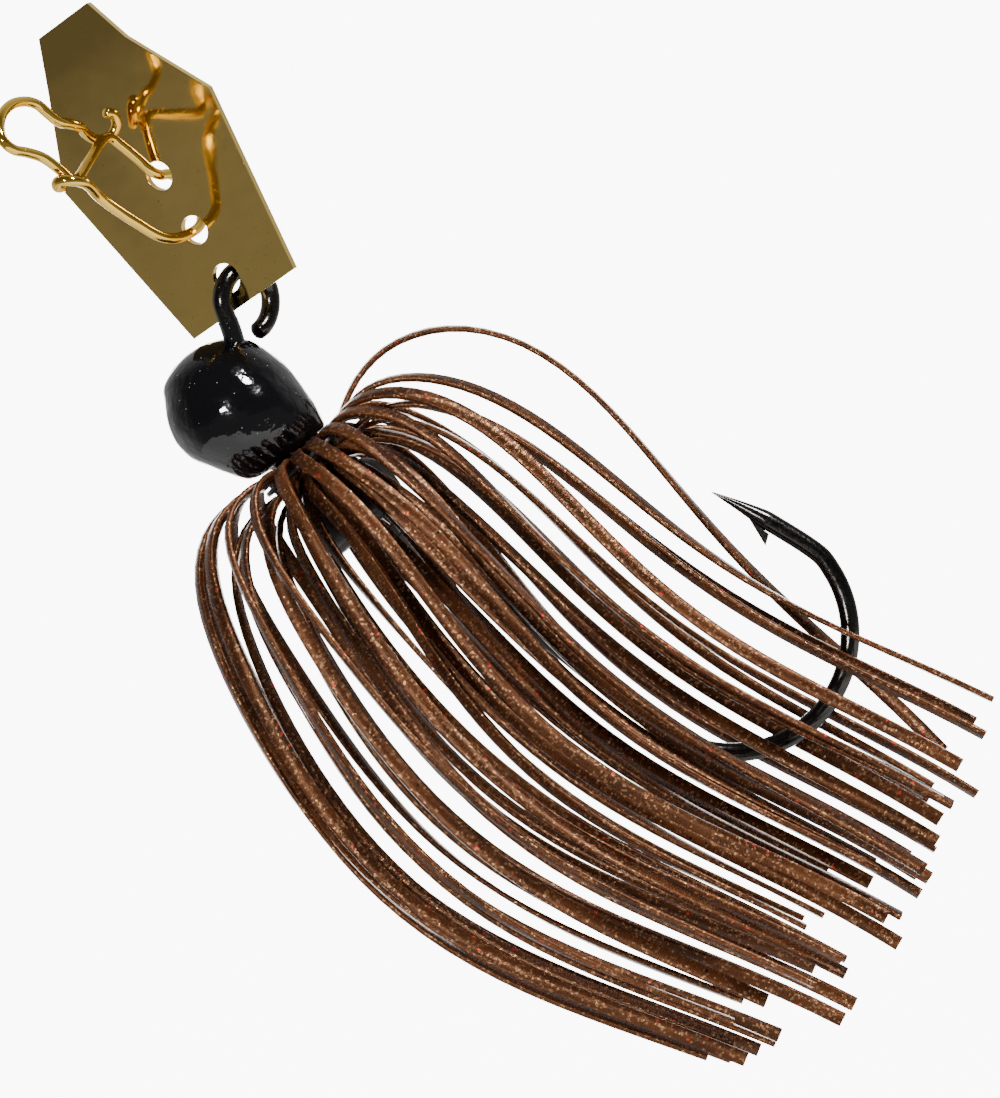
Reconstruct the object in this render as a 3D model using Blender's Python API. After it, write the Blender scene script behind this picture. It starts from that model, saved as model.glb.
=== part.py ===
"""A bladed jig: a fishing lure with a wobbling metal blade, a lead head on a hook, and a silicone skirt.

It hangs from its snap. The origin is the middle of the snap's line-tie loop, +Z is up, the hook's bend lies in
an XZ plane with its point towards +X, and the open side of the blade faces -Y. Lengths are in millimetres, in
three working frames, and each frame's matrix turns them to metres:
  snap   (a, b, c): a from the blade up to the line tie, b across the snap's flat, c out of its flat
  blade  (u, w, n): u down the blade, w across it, n out of its snap side
  jig    (s, p, v): s down the hook's shank, p towards the hook's point, v sideways, towards -Y
"""

import math

import bmesh
import bpy
from mathutils import Matrix, Vector
from mathutils.geometry import interpolate_bezier

MM = 0.001
GAP = 0.1  # left between pieces that touch

# how the parts lie when the lure hangs
BLADE_LEAN = math.radians(10.7)  # the blade's long axis from straight down, towards +X
BLADE_TURN = math.radians(37.0)  # the blade's turn about its long axis
SNAP_LEAN = math.radians(45.0)  # between the snap's long axis and the blade's flat
SHANK_LEAN = math.radians(27.4)  # the hook's shank from straight down, towards +X

# snap
SNAP_WIRE = 0.9
LINE_TIE = (17.2, 0.1)  # a, b of the line-tie loop's middle
SNAP_ROUTE = (  # a, b, c from the upper clip's end to the lower clip's end
    (8.5, -4.9, 0.6), (7.5, -5.1, 0.6), (6.8, -4.6, 0.1), (6.9, -3.9, -0.7), (7.8, -3.4, -1.15),
    (9.1, -3.2, -0.95), (10.3, -3.0, -0.35), (11.6, -2.5, 0.0), (13.0, -2.15, 0.0), (14.1, -2.45, 0.0),
    (15.2, -2.8, 0.0), (16.6, -2.45, 0.0), (18.1, -1.3, 0.0), (19.1, 0.6, 0.0), (19.0, 2.4, 0.0),
    (17.9, 3.05, 0.0), (16.2, 2.65, 0.0), (14.6, 2.4, 0.0), (12.9, 2.75, 0.0), (11.7, 3.2, 0.0),
    (10.9, 2.75, 0.0), (9.6, 0.2, 0.0), (8.2, -2.5, 0.0), (7.3, -3.15, 0.0), (6.2, -2.95, 0.0),
    (4.3, -2.35, 0.0), (2.9, -1.8, 0.0), (1.91, -1.91, 0.0), (1.2, -2.35, 0.0), (0.35, -2.5, 0.0),
    (-0.8, -1.95, 0.0), (-1.95, -0.8, 0.0), (-2.5, 0.35, 0.0), (-2.35, 1.2, 0.0), (-1.91, 1.91, 0.0),
    (-1.15, 2.7, 0.0), (0.3, 3.9, 0.0),
    (2.0, 4.55, 0.0), (4.2, 4.4, 0.0), (7.1, 3.95, 0.0), (9.0, 3.75, 0.25), (10.3, 3.85, 0.85),
    (11.4, 4.05, 1.15), (12.5, 4.2, 0.8), (13.0, 4.05, 0.0), (12.4, 3.9, -0.8), (11.5, 3.3, -1.1),
)

# blade: half widths at stations measured down from its widest line
BLADE_THICK = 0.6
NOSE_LENGTH = 4.25
NOSE_BEND = math.radians(-8.0)
BLADE_STATIONS = ((-7.5, 5.0), (0.0, 9.35), (16.3, 6.4))  # the bend line, the widest line, the rear edge
NOSE_HALF = 3.15
SNAP_HOLES = (3.5, 8.9)
EYE_HOLE = 13.7
BLADE_HOLES = ((SNAP_HOLES[0], 1.2), (SNAP_HOLES[1], 1.2), (EYE_HOLE, 1.3))  # distance down, radius
PIVOT_U = sum(SNAP_HOLES) / 2  # the snap swings about the line through its two holes

# hook
HOOK_WIRE = 1.6
EYE_R = 2.8
EYE_CENTRE = Vector((-4.26, 5.46, 0.0))
EYE_UP = math.radians(130.0)  # the eye's standing direction, from the shank in the hook's plane
EYE_TWIST = math.radians(45.0)  # the eye's plane out of the hook's plane
EYE_END = -66.0  # degrees round the eye: its cut end, where it meets the blade, where its stem starts
EYE_AT_BLADE = 133.0
EYE_STEM = 186.0
EYE_OFFSET = 0.2  # the eye's wire rests this far off the middle of its hole
STEM_ROUTE = ((-2.95, 2.35, 1.25), (-1.4, 0.75, 0.75), (1.2, -0.45, 0.2))
SHANK_START = Vector((5.0, -0.6, 0.0))
BEND_START = Vector((44.6, 0.3, 0.0))
BEND_CENTRE = Vector((44.6, 10.2, 0.0))
BEND_R = 9.9
BEND_SWEEP = 172.0
POINT_ROUTE = ((42.0, 19.55, 0.0), (39.0, 19.0, 0.0))
POINT_TIP = Vector((35.7, 18.2, 0.0))
POINT_LENGTH = 5.0
BARB_AT = Vector((41.6, 18.9, 0.0))
BARB_LENGTH = 2.2
BARB_HEIGHT = 0.5

# head: (s, p, tilt in degrees, half height, half width) of its rings, front to back
HEAD_FRONT = (-5.35, -2.85)
HEAD_RINGS = (
    (-5.05, -2.75, 4, 1.75, 1.75), (-4.25, -2.3, 3, 3.1, 3.1), (-2.8, -1.95, 1, 4.6, 4.45),
    (-1.0, -2.0, 0, 5.35, 5.25), (1.0, -2.05, -2, 5.5, 5.6), (3.0, -1.95, -6, 5.15, 5.4),
    (4.8, -1.95, -10, 4.6, 4.85), (6.0, -2.0, -12, 4.1, 4.2), (6.5, -1.95, -13, 3.75, 3.8),
    (6.7, -1.95, -13, 3.25, 3.3),
)
HEAD_SIDES = 26

# skirt: a ring of strands round the head's spigot, held by a band, flared by a collar
SKIRT_CENTRE = Vector((7.05, -1.35, 0.0))
SKIRT_TILT = math.radians(-8.0)
SPIGOT_R = 2.25
SPIGOT_END = 2.8
BAND = (4.1, 4.4, 0.9, 1.3)  # inner radius, outer radius, from and to along the skirt's axis
COLLAR_PROFILE = (  # distance along the skirt's axis, radius
    (3.4, 2.0), (3.55, 2.6), (4.0, 3.6), (4.8, 4.35), (5.8, 4.65), (7.5, 4.65), (8.1, 4.4), (8.3, 3.9),
    (8.7, 3.6), (8.9, 3.0), (8.9, 2.2),
)
KEEPER = (16.9, 21.7)  # from and to along the shank
KEEPER_R = 1.4
KEEPER_BARBS = 2
KEEPER_BARB_HEIGHT = 0.45

STRAND_D = 0.7
STRAND_POINTS = 18
STRAND_CROWDING = 1.9  # the points lie closer together at the band, where a strand turns
STRAND_SIDES_LEVEL = 1
STRAND_START = 0.15  # along the skirt's axis from its middle
DEPTH_SHARE = 0.8  # the skirt's depth as a share of its height
WANDER = 6.0  # degrees that a strand drifts round the skirt by its tip
WAVE = 0.6  # how far a strand sways from its smooth line
FOLD_BACK = 6.5  # how far forwards the widest strands are pulled as they turn outwards
CREST_SHARE = 0.6
SHOULDER_AT = 15.5
SHOULDER_SHARE = 1.2
# Each ring of strands: its radius, the distance along the axis where they turn outwards, the angles of the first
# and last strand, from the hook's point side round by -Y, how far they crowd towards -Y, and then for each strand
# how far it stands off the axis, how far its tip does, and how far down the shank the tip lies.
STRAND_RINGS = (
    (4.36, 0.42, 13.8, 346.2, 0.0, (
        (17.0, 21.0, 64.6), (15.6, 17.0, 65.8), (13.6, 14.2, 66.5), (12.8, 12.5, 68.5), (13.2, 13.0, 66.0),
        (14.0, 13.0, 69.0), (15.5, 14.5, 66.0), (17.5, 16.0, 68.0), (19.2, 17.5, 65.0), (20.4, 17.5, 68.0),
        (20.8, 18.2, 65.5), (20.5, 17.5, 67.5), (20.0, 16.5, 69.0), (19.0, 16.0, 65.5), (18.0, 14.5, 68.5),
        (17.0, 14.5, 69.5), (16.0, 13.5, 67.0), (15.2, 13.0, 70.0), (14.0, 12.5, 68.5), (13.4, 13.5, 66.5),
        (13.5, 14.0, 66.0), (25.0, 14.9, 64.6),
    )),
    (3.55, 2.2, 6.0, 354.0, 0.3, (
        (16.6, 19.4, 65.8), (12.6, 13.5, 67.5), (11.5, 11.5, 69.0), (11.0, 11.5, 65.5), (11.0, 10.5, 70.0),
        (12.0, 12.5, 64.5), (14.0, 13.0, 68.5), (16.2, 15.0, 66.0), (18.0, 15.5, 69.0), (18.4, 16.0, 66.5),
        (17.6, 14.5, 69.5), (16.2, 14.0, 65.0), (14.8, 12.5, 70.0), (13.8, 13.0, 67.5), (12.8, 11.0, 70.0),
        (12.0, 11.5, 66.0), (12.4, 13.0, 69.0), (15.6, 18.0, 64.8),
    )),
    (2.66, 2.85, 22.0, 338.0, 0.3, (
        (10.0, 10.5, 68.5), (8.6, 8.0, 70.0), (8.5, 7.5, 63.0), (8.8, 7.5, 71.5), (10.0, 9.5, 64.0),
        (12.0, 9.5, 72.0), (12.6, 11.0, 61.0), (12.4, 9.5, 72.5), (11.0, 9.0, 70.5), (9.6, 8.0, 66.0),
        (9.2, 7.5, 71.0), (9.0, 8.5, 69.5), (9.8, 9.5, 68.0),
    )),
)


def clear_scene():
    for old in list(bpy.data.objects):
        bpy.data.objects.remove(old, do_unlink=True)


def material(name, colour, roughness, metallic):
    made = bpy.data.materials.new(name)
    made.use_nodes = True
    shader = made.node_tree.nodes["Principled BSDF"]
    shader.inputs["Base Color"].default_value = (*colour, 1.0)
    shader.inputs["Roughness"].default_value = roughness
    shader.inputs["Metallic"].default_value = metallic
    made.diffuse_color = (*colour, 1.0)
    return made


def axes_matrix(origin, x, y, z):
    """The matrix that takes a frame's own millimetres to the world's metres."""
    turned = Matrix((x, y, z)).transposed().to_4x4()
    return Matrix.Translation(origin) @ turned @ Matrix.Scale(MM, 4)


def lean_axes(lean):
    """Down and across, in the XZ plane, for something that leans from straight down towards +X."""
    down = Vector((math.sin(lean), 0.0, -math.cos(lean)))
    across = Vector((math.cos(lean), 0.0, math.sin(lean)))
    return down, across


def smooth_route(points, step):
    """Points about one step apart on a smooth curve through the given ones."""
    ends = [points[0] * 2 - points[1], *points, points[-1] * 2 - points[-2]]
    fine = []
    for before, a, b, after in zip(ends, ends[1:], ends[2:], ends[3:]):
        reach = (b - a).length
        into = (b - before).normalized() * reach / 3
        out = (after - a).normalized() * reach / 3
        fine += interpolate_bezier(a, a + into, b - out, b, 13)[:-1]
    fine.append(points[-1])
    total = sum((b - a).length for a, b in zip(fine, fine[1:]))
    return resample(fine, max(2, round(total / step)) + 1)


def resample(points, count, crowding=1.0):
    """The same line as count points, evenly spaced, or crowded towards its start by a power above 1."""
    lengths = [0.0]
    for a, b in zip(points, points[1:]):
        lengths.append(lengths[-1] + (b - a).length)
    even, at = [], 0
    for i in range(count):
        wanted = lengths[-1] * (i / (count - 1)) ** crowding
        while at < len(points) - 2 and lengths[at + 1] < wanted:
            at += 1
        share = (wanted - lengths[at]) / max(lengths[at + 1] - lengths[at], 1e-9)
        even.append(points[at].lerp(points[at + 1], min(share, 1.0)))
    return even


def cord_tube(name, points, diameter, paint, parent=None, level=2):
    """A round strand along points, as a bevelled curve with filled ends."""
    curve = bpy.data.curves.new(name, "CURVE")
    curve.dimensions = "3D"
    curve.bevel_depth = diameter / 2
    curve.bevel_resolution = level
    curve.use_fill_caps = True
    line = curve.splines.new("POLY")
    line.points.add(len(points) - 1)
    for slot, point in zip(line.points, points):
        slot.co = (*point, 1.0)
    curve.materials.append(paint)
    return add(name, curve, parent)


def wire(name, points, diameter, paint, parent=None, sides=8, shares=None):
    """A bent wire: a ring of vertices at each point, carried along without twist, and closed at both ends."""
    builder = bmesh.new()
    rings = []
    heading = (points[1] - points[0]).normalized()
    side = heading.orthogonal().normalized()
    for i, point in enumerate(points):
        ahead = points[min(i + 1, len(points) - 1)] - points[max(i - 1, 0)]
        side = heading.rotation_difference(ahead.normalized()) @ side
        heading = ahead.normalized()
        other = heading.cross(side)
        radius = diameter / 2 * (shares[i] if shares else 1.0)
        ring = []
        for k in range(sides):
            angle = math.tau * k / sides
            ring.append(builder.verts.new(point + (side * math.cos(angle) + other * math.sin(angle)) * radius))
        rings.append(ring)
    bridge_rings(builder, rings)
    builder.faces.new(rings[0])
    builder.faces.new(rings[-1])
    return mesh_piece(name, builder, paint, parent, 50.0)


def add(name, data, parent=None):
    piece = bpy.data.objects.new(name, data)
    bpy.context.scene.collection.objects.link(piece)
    piece.parent = parent
    return piece


def mesh_piece(name, builder, paint, parent=None, sharp=35.0):
    """An object from a bmesh, with smooth shading broken at its sharp edges."""
    bmesh.ops.recalc_face_normals(builder, faces=builder.faces)
    mesh = bpy.data.meshes.new(name)
    builder.to_mesh(mesh)
    builder.free()
    mesh.shade_smooth()
    mesh.set_sharp_from_angle(angle=math.radians(sharp))
    mesh.materials.append(paint)
    return add(name, mesh, parent)


def cut(piece, cutter, operation="DIFFERENCE"):
    """Takes the hidden cutter's shape out of piece, or joins it on."""
    cutter.hide_render = True
    cutter.display_type = "WIRE"
    change = piece.modifiers.new(cutter.name, "BOOLEAN")
    change.object = cutter
    change.operation = operation
    change.solver = "EXACT"


def bridge_rings(builder, rings):
    for lower, upper in zip(rings, rings[1:]):
        for i, vert in enumerate(lower):
            after = (i + 1) % len(lower)
            builder.faces.new((vert, lower[after], upper[after], upper[i]))


def turned(profile, origin, axis, sides=24, closed=False):
    """A bmesh turned round an axis from (distance along it, radius) points. A closed profile makes a ring."""
    builder = bmesh.new()
    side = axis.orthogonal().normalized()
    other = axis.cross(side)
    rings = []
    for along, radius in profile:
        ring = []
        for i in range(sides):
            angle = math.tau * i / sides
            out = side * math.cos(angle) + other * math.sin(angle)
            ring.append(builder.verts.new(origin + axis * along + out * radius))
        rings.append(ring)
    if closed:
        rings.append(rings[0])
    bridge_rings(builder, rings)
    if not closed:
        builder.faces.new(rings[0])
        builder.faces.new(rings[-1])
    return builder


# --- the snap and the blade


def make_snap(frame, paint):
    route = smooth_route([Vector(p) for p in SNAP_ROUTE], 0.75)
    snap = wire("snap", route, SNAP_WIRE, paint)
    snap.matrix_world = frame


def blade_outline():
    """The flat part's corners, round in order: distance down from the widest line, distance across."""
    right = [(u, half) for u, half in BLADE_STATIONS]
    return right + [(u, -half) for u, half in reversed(right)]


def make_blade(frame, paint):
    """A flat plate with its nose bent back, pierced for the snap and the hook's eye."""
    builder = bmesh.new()
    half = BLADE_THICK / 2
    bend_u = BLADE_STATIONS[0][0] - PIVOT_U
    nose_u = bend_u - NOSE_LENGTH * math.cos(NOSE_BEND)
    nose_n = NOSE_LENGTH * math.sin(NOSE_BEND)
    layers = []
    for side in (half, -half):
        tip = (nose_u + side * math.sin(NOSE_BEND), nose_n + side * math.cos(NOSE_BEND))
        crease = bend_u + side * math.tan(NOSE_BEND / 2)
        plate = []
        for u, w in blade_outline():
            at = crease if u == BLADE_STATIONS[0][0] else u - PIVOT_U
            plate.append(builder.verts.new((at, w, side)))
        nose = [builder.verts.new((tip[0], w, tip[1])) for w in (-NOSE_HALF, NOSE_HALF)]
        builder.faces.new(plate)
        builder.faces.new((plate[-1], nose[0], nose[1], plate[0]))
        layers.append(plate + nose)
    bridge_rings(builder, layers)
    blade = mesh_piece("blade", builder, paint, sharp=4.0)
    blade.matrix_world = frame
    for i, (u, radius) in enumerate(BLADE_HOLES):
        punch = turned(((-2.0, radius), (2.0, radius)), Vector((u - PIVOT_U, 0, 0)), Vector((0, 0, 1)), 28)
        drill = mesh_piece(f"hole_punch_{i + 1}", punch, paint)
        drill.matrix_world = frame
        cut(blade, drill)


# --- the hook


def eye_axes():
    """The eye's side and up directions, in the jig's frame."""
    up = Vector((math.cos(EYE_UP), math.sin(EYE_UP), 0.0))
    side = Vector((math.sin(EYE_UP), -math.cos(EYE_UP), 0.0)) * math.cos(EYE_TWIST)
    return side - Vector((0.0, 0.0, math.sin(EYE_TWIST))), up


def eye_point(degrees):
    side, up = eye_axes()
    angle = math.radians(degrees)
    return EYE_CENTRE + (side * math.cos(angle) + up * math.sin(angle)) * EYE_R


def hook_route():
    """The wire's centreline from the eye's cut end to the point, in the jig's frame."""
    eye = [eye_point(EYE_END + (EYE_STEM - EYE_END) * i / 20) for i in range(21)]
    shank = [SHANK_START, SHANK_START.lerp(BEND_START, 0.1), SHANK_START.lerp(BEND_START, 0.9)]
    bend = []
    for i in range(19):
        angle = math.radians(-90.0 + BEND_SWEEP * i / 18)
        bend.append(BEND_CENTRE + Vector((math.cos(angle), math.sin(angle), 0.0)) * BEND_R)
    point = [Vector(p) for p in POINT_ROUTE]
    stem = [Vector(p) for p in STEM_ROUTE]
    return smooth_route([*eye, *stem, *shank, *bend, *point, POINT_TIP], 1.1)


def make_hook(paint, parent):
    route = hook_route()
    shares = [min(1.0, 0.12 + 0.88 * (p - POINT_TIP).length / POINT_LENGTH) for p in route]
    hook = wire("hook", route, HOOK_WIRE, paint, parent, 10, shares)
    hook.location = -EYE_CENTRE
    return hook


def make_barb(hook, paint, parent):
    """The sliver raised from the wire on the bend's inner side, joined to the hook."""
    along = (POINT_TIP - BARB_AT).normalized()
    inward = Vector((along.y, -along.x, 0.0))
    if inward.y > 0:
        inward.negate()
    side = Vector((0.0, 0.0, 0.28))
    foot = BARB_AT + inward * 0.3
    peak = BARB_AT + inward * (HOOK_WIRE / 2 + BARB_HEIGHT) - along * 0.3
    toe = BARB_AT + along * BARB_LENGTH + inward * 0.1
    builder = bmesh.new()
    near = [builder.verts.new(corner + side) for corner in (foot, peak, toe)]
    far = [builder.verts.new(corner - side) for corner in (foot, peak, toe)]
    builder.faces.new(near)
    builder.faces.new(far)
    bridge_rings(builder, [near, far])
    barb = mesh_piece("barb_blank", builder, paint, parent)
    barb.location = -EYE_CENTRE
    cut(hook, barb, "UNION")


# --- the head and what holds the skirt


def skirt_axis():
    return Vector((math.cos(SKIRT_TILT), math.sin(SKIRT_TILT), 0.0))


def wire_bore(name, paint, parent):
    """A tube a little wider than the hook's wire, which cuts its way through a piece."""
    bore = wire(name, hook_route()[13:48], HOOK_WIRE + 2 * GAP, paint, parent, 12)
    bore.location = -EYE_CENTRE
    return bore


def make_head(paint, parent, bore):
    """The cast egg, drawn in to a slanted rim, with the spigot that the skirt sits on."""
    builder = bmesh.new()
    front = builder.verts.new((*HEAD_FRONT, 0.0))
    rings = []
    for s, p, tilt, height, width in HEAD_RINGS:
        up = Vector((-math.sin(math.radians(tilt)), math.cos(math.radians(tilt)), 0.0))
        rings.append(head_ring(builder, Vector((s, p, 0.0)), up, height, width))
    axis = skirt_axis()
    up = Vector((-axis.y, axis.x, 0.0))
    rings.append(head_ring(builder, SKIRT_CENTRE - axis * 0.1, up, SPIGOT_R, SPIGOT_R))
    rings.append(head_ring(builder, SKIRT_CENTRE + axis * SPIGOT_END, up, SPIGOT_R, SPIGOT_R))
    for i, vert in enumerate(rings[0]):
        builder.faces.new((front, rings[0][(i + 1) % HEAD_SIDES], vert))
    bridge_rings(builder, rings)
    builder.faces.new(rings[-1])
    head = mesh_piece("head", builder, paint, parent)
    head.location = -EYE_CENTRE
    cut(head, bore)


def head_ring(builder, centre, up, height, width):
    ring = []
    for i in range(HEAD_SIDES):
        angle = math.tau * i / HEAD_SIDES
        spot = centre + up * math.cos(angle) * height
        ring.append(builder.verts.new(spot + Vector((0.0, 0.0, math.sin(angle) * width))))
    return ring


def make_band(paint, parent):
    inner, outer, start, end = BAND
    round_off = 0.12
    profile = (
        (start, inner), (start, outer - round_off), (start + round_off, outer), (end - round_off, outer),
        (end, outer - round_off), (end, inner),
    )
    band = mesh_piece("skirt_band", turned(profile, SKIRT_CENTRE, skirt_axis(), 28, True), paint, parent)
    band.location = -EYE_CENTRE


def make_collar(paint, parent, bore):
    collar = mesh_piece("flare_collar", turned(COLLAR_PROFILE, SKIRT_CENTRE, skirt_axis()), paint, parent)
    collar.location = -EYE_CENTRE
    cut(collar, bore)


def make_keeper(paint, parent):
    """A sleeve on the shank with raised rings that hold a soft trailer bait."""
    start, end = KEEPER
    axis = (BEND_START - SHANK_START).normalized()
    origin = SHANK_START - axis * SHANK_START.x
    inner = HOOK_WIRE / 2 + GAP
    profile = [(start, inner), (start, KEEPER_R)]
    for i in range(KEEPER_BARBS):
        foot = start + (end - start) * (i + 0.45) / KEEPER_BARBS
        profile += [(foot, KEEPER_R), (foot + 0.1, KEEPER_R + KEEPER_BARB_HEIGHT), (foot + 0.9, KEEPER_R)]
    profile += [(end, KEEPER_R), (end, inner)]
    keeper = mesh_piece("trailer_keeper", turned(profile, origin, axis, 20, True), paint, parent)
    keeper.location = -EYE_CENTRE


# --- the skirt's strands


def skirt_drift(s):
    """Where the skirt's middle lies along p, at a distance s down the shank: it sags, then lifts at its tips."""
    share = max(0.0, min(1.0, (s - SKIRT_CENTRE.x) / 65.0))
    sag = 0.5 - 0.5 * math.cos(math.tau * share)
    return SKIRT_CENTRE.y - 3.9 * sag + 2.2 * share ** 4


def strand_route(angle, root, leave, flare, tip, reach, number):
    """One strand's centreline, in the jig's frame: along the spigot, out over the collar, then down to its tip."""
    axis = skirt_axis()
    tilted = Vector((-axis.y, axis.x, 0.0))
    sideways = Vector((0.0, 0.0, 1.0))
    out = tilted * math.cos(angle) + sideways * math.sin(angle)
    turn = SKIRT_CENTRE + axis * leave
    route = [SKIRT_CENTRE + axis * STRAND_START + out * root, turn + out * root]
    fold = FOLD_BACK * max(0.0, (flare - 8.0) / 14.0) ** 1.5
    crest = (turn.x - fold, root + CREST_SHARE * flare)
    shoulder = (turn.x + SHOULDER_AT, SHOULDER_SHARE * flare)
    drift = math.radians(WANDER * math.sin(2.4 * number))
    for step in range(1, 41):
        t = step / 40
        s, r = bezier((turn.x, root), crest, shoulder, (reach, tip), t)
        sway = WAVE * math.sin(math.pi * t) * math.sin(1.7 * number + 7.0 * t)
        now = angle + drift * t ** 1.5 + sway / r
        up = tilted.lerp(Vector((0.0, 1.0, 0.0)), t)
        depth = root + (r - root) * DEPTH_SHARE
        middle = Vector((s, skirt_drift(s), 0.0))
        route.append(middle + up * math.cos(now) * r + sideways * math.sin(now) * depth)
    return resample(route, STRAND_POINTS, STRAND_CROWDING)


def bezier(a, b, c, d, t):
    """The point at t on the cubic curve with these four control points."""
    shares = ((1 - t) ** 3, 3 * t * (1 - t) ** 2, 3 * t * t * (1 - t), t ** 3)
    return [sum(share * point[i] for share, point in zip(shares, (a, b, c, d))) for i in range(2)]


def strand_routes():
    """Every strand's centreline, the ring over the band first."""
    routes = []
    for root, leave, first, last, crowd, shapes in STRAND_RINGS:
        for i, (flare, tip, reach) in enumerate(shapes):
            angle = math.radians(first + (last - first) * i / (len(shapes) - 1))
            angle += crowd * math.cos(angle)
            routes.append(strand_route(angle, root, leave, flare, tip, reach, len(routes)))
    return routes


def make_strands(paint, parent):
    for i, route in enumerate(strand_routes()):
        strand = cord_tube(f"strand_{i + 1:02d}", route, STRAND_D, paint, parent, STRAND_SIDES_LEVEL)
        strand.location = -EYE_CENTRE


def main():
    clear_scene()
    gold = material("gold_plate", (0.62, 0.43, 0.12), 0.12, 1.0)
    black_nickel = material("black_nickel", (0.03, 0.03, 0.032), 0.18, 1.0)
    black_paint = material("black_gloss_paint", (0.006, 0.006, 0.007), 0.12, 0.0)
    black_rubber = material("black_rubber", (0.015, 0.015, 0.015), 0.5, 0.0)
    silicone = material("brown_silicone", (0.09, 0.045, 0.028), 0.4, 0.0)

    viewer = Vector((0.0, -1.0, 0.0))
    down, across = lean_axes(BLADE_LEAN)
    wide = across * math.cos(BLADE_TURN) + viewer * math.sin(BLADE_TURN)
    normal = viewer * math.cos(BLADE_TURN) - across * math.sin(BLADE_TURN)
    snap_a = normal * math.sin(SNAP_LEAN) - down * math.cos(SNAP_LEAN)
    snap_b = normal * math.cos(SNAP_LEAN) + down * math.sin(SNAP_LEAN)
    pivot = (snap_a * LINE_TIE[0] + snap_b * LINE_TIE[1]) * -MM
    make_snap(axes_matrix(pivot, snap_a, snap_b, wide), gold)
    blade_frame = axes_matrix(pivot, down, wide, normal)
    make_blade(blade_frame, gold)

    shank, upward = lean_axes(SHANK_LEAN)
    hole = blade_frame @ Vector((EYE_HOLE - PIVOT_U, EYE_OFFSET, 0.0))
    jig_turn = axes_matrix(Vector((0.0, 0.0, 0.0)), shank, upward, viewer)
    eye_place = hole - jig_turn @ (eye_point(EYE_AT_BLADE) - EYE_CENTRE)
    pivot_empty = add("eye_pivot", None)
    pivot_empty.matrix_world = axes_matrix(eye_place, shank, upward, viewer)
    hook = make_hook(black_nickel, pivot_empty)
    make_barb(hook, black_nickel, pivot_empty)
    bore = wire_bore("wire_bore", black_nickel, pivot_empty)
    make_head(black_paint, pivot_empty, bore)
    make_band(black_rubber, pivot_empty)
    make_collar(black_rubber, pivot_empty, bore)
    make_keeper(black_rubber, pivot_empty)
    make_strands(silicone, pivot_empty)


main()
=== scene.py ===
"""The looks of a bladed jig: mirror-gold snap and blade, painted head, black-nickel hook and silicone skirt.

Shapes are worked out in millimetres in the same three frames as the CAD's source, and placed in metres:
  snap   (a, b, c): a from the blade up to the line tie, b across the snap's flat, c out of its flat
  blade  (u, w, n): u down the blade, w across it, n out of its snap side
  jig    (s, p, v): s down the hook's shank, p towards the hook's point, v sideways, towards -Y
"""

import math

import bmesh
import bpy
from mathutils import Matrix, Vector, noise
from mathutils.geometry import interpolate_bezier


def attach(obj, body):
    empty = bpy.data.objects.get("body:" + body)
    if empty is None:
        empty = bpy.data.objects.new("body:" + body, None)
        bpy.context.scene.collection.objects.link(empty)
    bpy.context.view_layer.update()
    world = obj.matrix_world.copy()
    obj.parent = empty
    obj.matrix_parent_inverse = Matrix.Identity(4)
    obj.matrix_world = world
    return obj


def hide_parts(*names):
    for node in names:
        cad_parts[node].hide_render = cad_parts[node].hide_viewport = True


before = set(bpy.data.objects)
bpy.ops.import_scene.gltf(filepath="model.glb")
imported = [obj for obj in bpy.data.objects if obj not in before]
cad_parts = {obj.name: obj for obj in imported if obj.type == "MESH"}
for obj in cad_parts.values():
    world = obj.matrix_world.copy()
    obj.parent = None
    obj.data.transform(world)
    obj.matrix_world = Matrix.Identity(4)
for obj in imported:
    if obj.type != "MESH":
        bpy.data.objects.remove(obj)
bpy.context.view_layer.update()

MM = 0.001
ORIGIN = Vector((0.0, 0.0, 0.0))
OUT_OF_FLAT = Vector((0.0, 0.0, 1.0))  # the third axis of each of the three frames

# how the parts lie when the lure hangs
BLADE_LEAN = math.radians(10.7)
BLADE_TURN = math.radians(37.0)
SNAP_LEAN = math.radians(45.0)
SHANK_LEAN = math.radians(27.4)

# camera
VIEW_CENTRE = Vector((23.07, 10.0, -47.49))  # what the middle of the picture shows
VIEW_ROLL = math.radians(22.62)  # the camera's roll, which tips the hanging lure towards the picture's right
VIEW_HEIGHT = 91.5  # what the picture's height shows
VIEW_DISTANCE = 700.0
SENSOR = 36.0

# the room's light, a sum of steps, each along one axis of a direction: axis, from, to, strength before, after
WORLD_STEPS = (
    ("Y", -0.2, 0.6, 0.115, 0.75),  # brighter to the back
    ("Y", 0.9, 0.985, 0.0, 9.0),  # the white wall of light
    ("Z", -0.17, 0.03, 0.12, 0.0),  # light off the floor
)

# soft lights: name, place, size and power, in metres and watts
SOFT_LIGHTS = (("key", (0.44, -0.36, 0.40), 0.13, 9.0), ("second", (-0.20, -0.60, 0.03), 0.10, 4.0))
FLOOR_R = 0.17
FLOOR_Z = -0.125

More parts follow.
